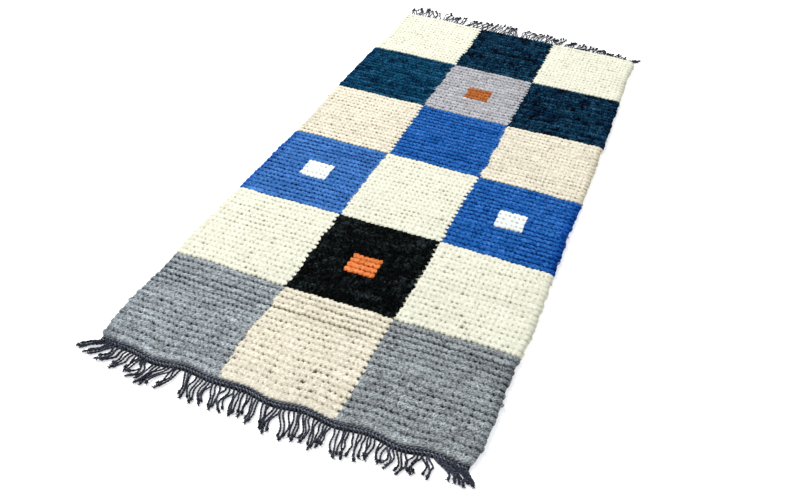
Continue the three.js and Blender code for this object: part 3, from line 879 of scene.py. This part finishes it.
def strands(end):
    """The fringe: two-ply twisted strands that lie on the floor, each tied off with a small
    knot and frayed past it. Those of a bunch draw together, and some cross."""
    rng = draws(f"strands_{end.name}")
    roots, tips = strand_routes(end)
    count = len(roots)
    in_bunch = len(BUNCH_STRANDS)
    leaning = np.abs(end.lean) > BUNCH.far_lean
    pinch = np.where(leaning, BUNCH.far_lean_spread, BUNCH.pinch)
    bunch_tip = tips.reshape(-1, in_bunch, 2).mean(1, keepdims=True)
    aside = tips.reshape(-1, in_bunch, 2) - bunch_tip
    aside[..., 0] *= pinch[:, None]
    tips = (bunch_tip + aside).reshape(-1, 2)
    tips[:, 0] += end.stray * rng.uniform(-1, 1, count)
    drift = np.where(leaning, 0, rng.normal(0, BUNCH.drift, BUNCHES))
    tips[:, 0] += np.repeat(drift, in_bunch)
    crossing = np.zeros(count)
    for bunch in range(BUNCHES):
        if rng.uniform() < BUNCH.crossing_share:
            first = in_bunch * bunch + rng.integers(0, in_bunch - 1)
            tips[[first, first + 1]] = tips[[first + 1, first]]
            crossing[first] = 1
    way = tips - roots
    length = np.linalg.norm(way, axis=-1, keepdims=True)
    necks = tips - way / length * KNOT_LENGTH

    t = np.linspace(0, 1, STRAND.steps)
    x = roots[:, :1] + (necks[:, :1] - roots[:, :1]) * t**WAVE.lean_ease
    out = STRAND.start + (necks[:, 1:] - STRAND.start) * t
    swing = rng.uniform(-1, 1, (count, 2)) * (WAVE.size + WAVE.stray * end.stray)
    turns = rng.uniform(*WAVE.turns, (count, 1))
    phase = rng.uniform(0, 2 * np.pi, (count, 1))
    wave = swing[:, :1] * np.sin(2 * np.pi * turns * t + phase)
    wave += WAVE.second * swing[:, 1:] * np.sin(4 * np.pi * turns * t + 2 * phase)
    hump = np.sin(np.pi * t)
    x = x + hump**WAVE.window * wave
    side = np.tile(list(BUNCH_STRANDS), BUNCHES)
    bow = side * np.repeat(rng.uniform(*BUNCH.bow, BUNCHES), in_bunch)
    bend = np.repeat(rng.normal(0, BUNCH.bend, BUNCHES), in_bunch)
    x = x + hump * bow[:, None] + np.sin(2 * np.pi * t) * bend[:, None]
    curl = end.curl
    lift = curl * rng.uniform(0, 1, (count, 1)) ** 2 + crossing[:, None] * BUNCH.crossing_lift
    tip_lift = curl * rng.uniform(0, 1, (count, 1)) ** WAVE.curl_power
    off_wool = np.exp(-np.maximum(out - STRAND.start, 0) / STRAND.start_fall)
    z = STRAND.rest + (STRAND.start_height - STRAND.rest) * off_wool
    z = z + lift * hump**2 + tip_lift * smooth(1 + WAVE.curl_slope * (t - 1))
    line_x, line_y = end_line(end)
    base_y = np.interp(roots[:, 0], line_x, line_y)[:, None]
    centre = np.stack([x, base_y + end.facing * out, z], -1)

    travelled = length * t
    colour = np.repeat(COTTON[None], count, axis=0)
    colour[:, :3] *= 1 + STRAND.shade * rng.uniform(-1, 1, (count, 1))
    slub = SLUB.size * np.sin(travelled / SLUB.length + SLUB.turns * phase)
    slub = 1 + slub * rng.uniform(*SLUB.range, (count, 1))
    full = np.repeat(np.where(leaning, BUNCH.far_lean_swell, 1), in_bunch)[:, None]
    radii = end.radius * full * slub
    radii = radii + STRAND.root_swell * np.exp(-(out - STRAND.start) / STRAND.root_swell_reach)
    centre[..., 2] = np.maximum(centre[..., 2], radii * (1 + STRAND.lobes))
    plies = {"paths": centre, "radii": radii, "sides": STRAND.sides, "colour": colour}
    plies |= {"lobes": STRAND.lobes, "lobe_shade": STRAND.lobe_shade}
    plies["spin"] = 2 * np.pi * travelled / STRAND.ply_pitch + phase

    neck = centre[:, -1]
    ahead = unit(neck - centre[:, -3])
    right = unit(np.cross(ahead, [0, 0, 1.0]))
    high = np.cross(right, ahead)
    s = np.linspace(0, 1, KNOT.steps)
    turn = 2 * np.pi * KNOT.turns * s + phase
    size = rng.uniform(*KNOT.sizes, (count, 1))
    hump = np.sin(np.pi * s)
    wrap = size * KNOT.radius * rising(KNOT.waist, hump)
    onward = s * KNOT_LENGTH * KNOT.share - KNOT.set_back
    knot = neck[:, None] + ahead[:, None] * onward[None, :, None]
    knot += right[:, None] * (wrap * np.cos(turn))[..., None]
    knot += high[:, None] * (wrap * np.sin(turn))[..., None]
    yarn = size * KNOT.yarn * rising(KNOT.yarn_ends, hump)
    knot[..., 2] += np.maximum(yarn - knot[..., 2], 0).max(1, keepdims=True) + KNOT.floor_gap
    knots = {"paths": knot, "radii": yarn, "sides": KNOT.sides, "colour": colour}

    s = np.linspace(0, 1, FRAY.steps)
    spread = rng.normal(0, FRAY.fan, (count, FRAY.fibres, 1, 2))
    reach = rng.uniform(*FRAY.reach, (count, FRAY.fibres, 1, 1))
    begin = (neck + ahead * KNOT_LENGTH * FRAY.start)[:, None, None]
    fan = right[:, None, None] * spread[..., :1] * rising(FRAY.root_fan, s[:, None])
    fray = (begin + reach * s[:, None] * (ahead[:, None, None] + fan)).reshape(-1, FRAY.steps, 3)
    radius = np.broadcast_to(FRAY.radius - FRAY.taper * s, fray.shape[:2])
    fray[..., 2] += FRAY.lift * spread.reshape(-1, 1, 2)[..., 1] * s
    fray[..., 2] = np.maximum(fray[..., 2], radius)
    fray_colour = np.repeat(colour, FRAY.fibres, axis=0)
    frays = {"paths": fray, "radii": radius, "sides": FRAY.sides, "colour": fray_colour}
    return add_tubes(f"strands_{end.name}", [plies, knots, frays], f"fringe_{end.name}")


FIBRE = Values(
    count=2200, steps=4, sides=3, radius=0.13, taper=(1.25, 0.5), steep=(8, 38), reach=(3.5, 9),
    curl=0.6, arch=0.8, rise=0.7, sink=0.25, pale=0.05, lighter=1.1, from_side=0.1, from_end=0.5,
)
BOLD = Values(
    share=0.035, radius=0.34, radii=(0.6, 1), pale=(0.2, 0.9), colour=np.array([0.55, 0.56, 0.57]),
)


def wool_fibres():
    """Loose fibres that stand out of the wool, most of them fine and lying along it, with a
    few pale bits of lint and thicker hairs."""
    rng = draws("fibres")
    u = rng.uniform(FIBRE.from_side, STITCHES - FIBRE.from_side, FIBRE.count)
    v = rng.uniform(FIBRE.from_end, ROWS - FIBRE.from_end, FIBRE.count)
    root, _ = weave_point(u, v)
    turn = rng.uniform(0, 2 * np.pi, FIBRE.count)
    steep = np.radians(rng.uniform(*FIBRE.steep, FIBRE.count))
    reach = rng.uniform(*FIBRE.reach, FIBRE.count)
    cos, sin, flat = np.cos(turn), np.sin(turn), np.zeros(FIBRE.count)
    way, bend = (np.stack(axes, -1)[:, None] for axes in ((cos, sin, flat), (-sin, cos, flat)))
    curl = rng.uniform(-FIBRE.curl, FIBRE.curl, FIBRE.count)
    t = np.linspace(0, 1, FIBRE.steps)
    s = t[None, :, None]
    length = reach[:, None, None]
    paths = root[:, None] + length * s * np.cos(steep)[:, None, None] * way
    paths += length * s**2 * curl[:, None, None] * bend
    rise = np.sin(np.pi * t * FIBRE.arch) * (np.sin(steep) * reach)[:, None] * FIBRE.rise
    paths[..., 2] += rise - FIBRE.sink
    bold = rng.uniform(0, 1, FIBRE.count) < BOLD.share
    thick = np.where(bold, BOLD.radius * rng.uniform(*BOLD.radii, FIBRE.count), FIBRE.radius)
    colour = YARN_VALUES[yarn_at(u, v)]
    pale = np.where(bold, rng.uniform(*BOLD.pale, FIBRE.count), FIBRE.pale)[:, None]
    colour[:, :3] = colour[:, :3] * (FIBRE.lighter - pale) + BOLD.colour * pale
    radii = thick[:, None] * np.linspace(*FIBRE.taper, FIBRE.steps)
    group = {"paths": paths, "radii": radii, "sides": FIBRE.sides, "colour": colour}
    return add_tubes("wool_fibres", [group], "rug_body")


# The loops at the side edges: how many at each side, and the ranges of their sizes
LOOP = Values(
    counts={-1: 18, 1: 34}, steps=9, sides=6, radius=1.4, radii=(0.6, 1.1), thinning=0.3,
    off=(-2, 2), wide=(7, 11), proud=(3.2, 6.0), height=(5, 8), sag=(-2, 1.5), sunk=2, stitch=0.1,
    pale_share=0.3, pale=0.6, from_end=2,
)


def edge_loops():
    """Small slack loops of yarn where it turns back at the side edges."""
    rng = draws("loops")
    paths, colours = [], []
    s = np.linspace(0, 1, LOOP.steps)
    for side, count in LOOP.counts.items():
        for v in np.rint(rng.uniform(LOOP.from_end, ROWS - LOOP.from_end, count)):
            along = v * ROW_PITCH + rng.uniform(*LOOP.off)
            wide = rng.uniform(*LOOP.wide)
            proud = rng.uniform(*LOOP.proud)
            height = rng.uniform(*LOOP.height)
            sunk = ROLL_WIDTH - roll_width(side, np.array(v)) + LOOP.sunk
            edge = edge_x(side, np.array(along)) - side * sunk
            x = edge + side * proud * np.sin(np.pi * s)
            y = along - CLOTH_LENGTH / 2 + wide * (s - 0.5)
            z = height + rng.uniform(*LOOP.sag) * np.sin(np.pi * s)
            paths.append(np.stack([x, y, z], -1))
            u = LOOP.stitch if side < 0 else STITCHES - LOOP.stitch
            colour = YARN_VALUES[yarn_at(np.array([u]), np.array([v - 0.5]))][0]
            if rng.uniform() < LOOP.pale_share:
                colour[:3] = (1 - LOOP.pale) * colour[:3] + LOOP.pale * BOLD.colour
            colours.append(colour)
    thick = LOOP.radius * rng.uniform(*LOOP.radii, (len(paths), 1))
    group = {
        "paths": np.array(paths),
        "radii": thick * (1 - LOOP.thinning * (2 * s - 1) ** 4),
        "sides": LOOP.sides,
        "colour": np.array(colours),
    }
    return add_tubes("edge_loops", [group], "rug_body")


def set_inputs(tree, node, values):
    """Gives a node's inputs their values, or links them to other outputs."""
    for key, value in values.items():
        if isinstance(value, bpy.types.NodeSocket):
            tree.links.new(value, node.inputs[key])
        else:
            node.inputs[key].default_value = value


def new_material(name):
    material = bpy.data.materials.new(name)
    material.use_nodes = True
    return material, material.node_tree, material.node_tree.nodes["Principled BSDF"]


def set_fields(thing, fields):
    for key, value in fields.items():
        setattr(thing, key, value)


def add_node(tree, kind, values, **settings):
    node = tree.nodes.new(kind)
    set_fields(node, settings)
    set_inputs(tree, node, values)
    return node


# The layers of noise in the yarn: features of about 1 / scale metres, their detail and
# roughness, and how many times longer they are in a direction, so many degrees from the rows
NOISES = {
    "clumps": (560, 2, 0.6, 2.2, 35),
    "fibres": (1400, 2, 0.6, 4, 80),
    "flecks": (784, 1, 0.5, 3, 60),
    "stain": (9, 3, 0.5, 1, 0),
    "fuzz": (1400, 4, 0.7, 3, 50),
}

# The part of each noise that is used, and the amounts it is spread between
AMOUNTS = {
    "clumps": (0.38, 0.62, -1.0, 1.0),
    "fibres": (0.36, 0.64, -0.5, 0.5),
    "flecks": (0.62, 0.70, 0.0, 1.6),
    "stain": (0.3, 0.7, -0.03, 0.03),
}
PALE_FROM = 0.3
LEAST_LIGHTNESS = 0.12
FUZZ_STRENGTH = 0.7
YARN_SHADER = {"Roughness": 0.95, "Specular IOR Level": 0.01, "Sheen Roughness": 0.5}


def noise(tree, place, name):
    scale, detail, rough, longer, turn = NOISES[name]
    values = {"Vector": place, "Rotation": (0, 0, np.radians(turn)), "Scale": (longer, 1, 1)}
    mapping = add_node(tree, "ShaderNodeMapping", values, vector_type="TEXTURE")
    values = {"Vector": mapping.outputs[0], "Scale": scale, "Detail": detail, "Roughness": rough}
    return add_node(tree, "ShaderNodeTexNoise", values).outputs["Fac"]


def amount_of(tree, place, name):
    values = dict(enumerate([noise(tree, place, name), *AMOUNTS[name]]))
    return add_node(tree, "ShaderNodeMapRange", values).outputs[0]


def maths(tree, operation, a, b):
    return add_node(tree, "ShaderNodeMath", {0: a, 1: b}, operation=operation).outputs[0]


def vector_maths(tree, operation, values):
    return add_node(tree, "ShaderNodeVectorMath", values, operation=operation).outputs[0]


def yarn_material(name, fibre_depth, sheen, pale_fibres):
    """Spun yarn: the colour of the mesh, mixed fibres in it, and a fibrous surface."""
    material, tree, shader = new_material(name)
    place = add_node(tree, "ShaderNodeTexCoord", {}).outputs["Object"]
    yarn = add_node(tree, "ShaderNodeAttribute", {}, attribute_name="yarn")
    clumps, fibres, flecks = (amount_of(tree, place, n) for n in ("clumps", "fibres", "flecks"))
    amount = maths(tree, "ADD", maths(tree, "ADD", clumps, fibres), flecks)
    pale = maths(tree, "SUBTRACT", amount, PALE_FROM)
    amount = maths(tree, "MULTIPLY", amount, yarn.outputs["Alpha"])
    amount = maths(tree, "ADD", amount, amount_of(tree, place, "stain"))
    lightness = maths(tree, "MAXIMUM", maths(tree, "ADD", amount, 1.0), LEAST_LIGHTNESS)
    colour = vector_maths(tree, "SCALE", {0: yarn.outputs["Color"], "Scale": lightness})
    tint = [pale_fibres * share for share in PALE.tint]
    colour = vector_maths(tree, "MULTIPLY_ADD", {0: pale, 1: tint, 2: colour})
    colour = vector_maths(tree, "MAXIMUM", {0: colour, 1: (LEAST_COLOUR,) * 3})
    values = {"Height": noise(tree, place, "fuzz"), "Strength": FUZZ_STRENGTH}
    bump = add_node(tree, "ShaderNodeBump", values | {"Distance": fibre_depth * MM})
    values = {"Base Color": colour, "Normal": bump.outputs[0], "Sheen Weight": sheen}
    set_inputs(tree, shader, values | YARN_SHADER)
    return material


MATERIALS = {
    "wool": yarn_material("wool_yarn", fibre_depth=1.1, sheen=0.002, pale_fibres=0.009),
    "cotton": yarn_material("cotton_yarn", fibre_depth=0.35, sheen=0.03, pale_fibres=0.004),
}

# The weave is made in four bands of rows
BANDS = {
    "weave_near": (0, 26),
    "weave_near_middle": (26, 52),
    "weave_far_middle": (52, 78),
    "weave_far": (78, ROWS),
}
bands = [weave_band(name, first, last) for name, (first, last) in BANDS.items()]
ground = ground_cloth()
loose = [wool_fibres(), edge_loops()]
for rug_end in (NEAR_END, FAR_END):
    heading(rug_end)
    strands(rug_end)

FLOOR_SIZE = 24.0
FLOOR_SHADER = {
    "Base Color": (0.97, 0.97, 0.97, 1),
    "Roughness": 0.9,
    "Specular IOR Level": 0.1,
    "Emission Color": (1, 1, 1, 1),
    "Emission Strength": 0.4,
}


def add_floor():
    half = FLOOR_SIZE / 2
    mesh = bpy.data.meshes.new("floor")
    corners = [(-half, -half, 0), (half, -half, 0), (half, half, 0), (-half, half, 0)]
    mesh.from_pydata(corners, [], [(0, 1, 2, 3)])
    material, tree, shader = new_material("floor_paper")
    set_inputs(tree, shader, FLOOR_SHADER)
    mesh.materials.append(material)
    floor = add_object("floor", mesh)
    return floor


KEY_PLACE = (-4.3, 1.4, 4.2)
KEY_LIGHT = {"shape": "DISK", "size": 2.4, "energy": 400, "color": (1.0, 0.99, 0.97)}
WORLD_LIGHT = {"Color": (0.96, 0.98, 1.0, 1), "Strength": 0.64}

floor = add_floor()
light = bpy.data.lights.new("key_light", "AREA")
set_fields(light, KEY_LIGHT)
lamp = add_object("key_light", light)
lamp.location = KEY_PLACE
lamp.rotation_mode = "QUATERNION"
lamp.rotation_quaternion = (-Vector(KEY_PLACE)).to_track_quat("-Z", "Y")
world = bpy.data.worlds.new("studio")
bpy.context.scene.world = world
world.use_nodes = True
set_inputs(world.node_tree, world.node_tree.nodes["Background"], WORLD_LIGHT)

# The camera, from the photograph's four corners of the cloth
CAMERA_PLACE = (454, -1530, 1050)
CAMERA_TURN = (51.2, -3.27, 21.01)
FOCAL_PIXELS = 869.6
PICTURE_WIDTH = 800
SENSOR_WIDTH = 36

camera_data = bpy.data.cameras.new("camera")
camera_data.sensor_width = SENSOR_WIDTH
camera_data.lens = FOCAL_PIXELS * SENSOR_WIDTH / PICTURE_WIDTH
camera = add_object("camera", camera_data)
camera.location = (Vector(CAMERA_PLACE) + Vector(SHIFT)) * MM
camera.rotation_euler = Euler(np.radians(CAMERA_TURN), "XYZ")
bpy.context.scene.camera = camera
bpy.context.scene.view_settings.view_transform = "Standard"
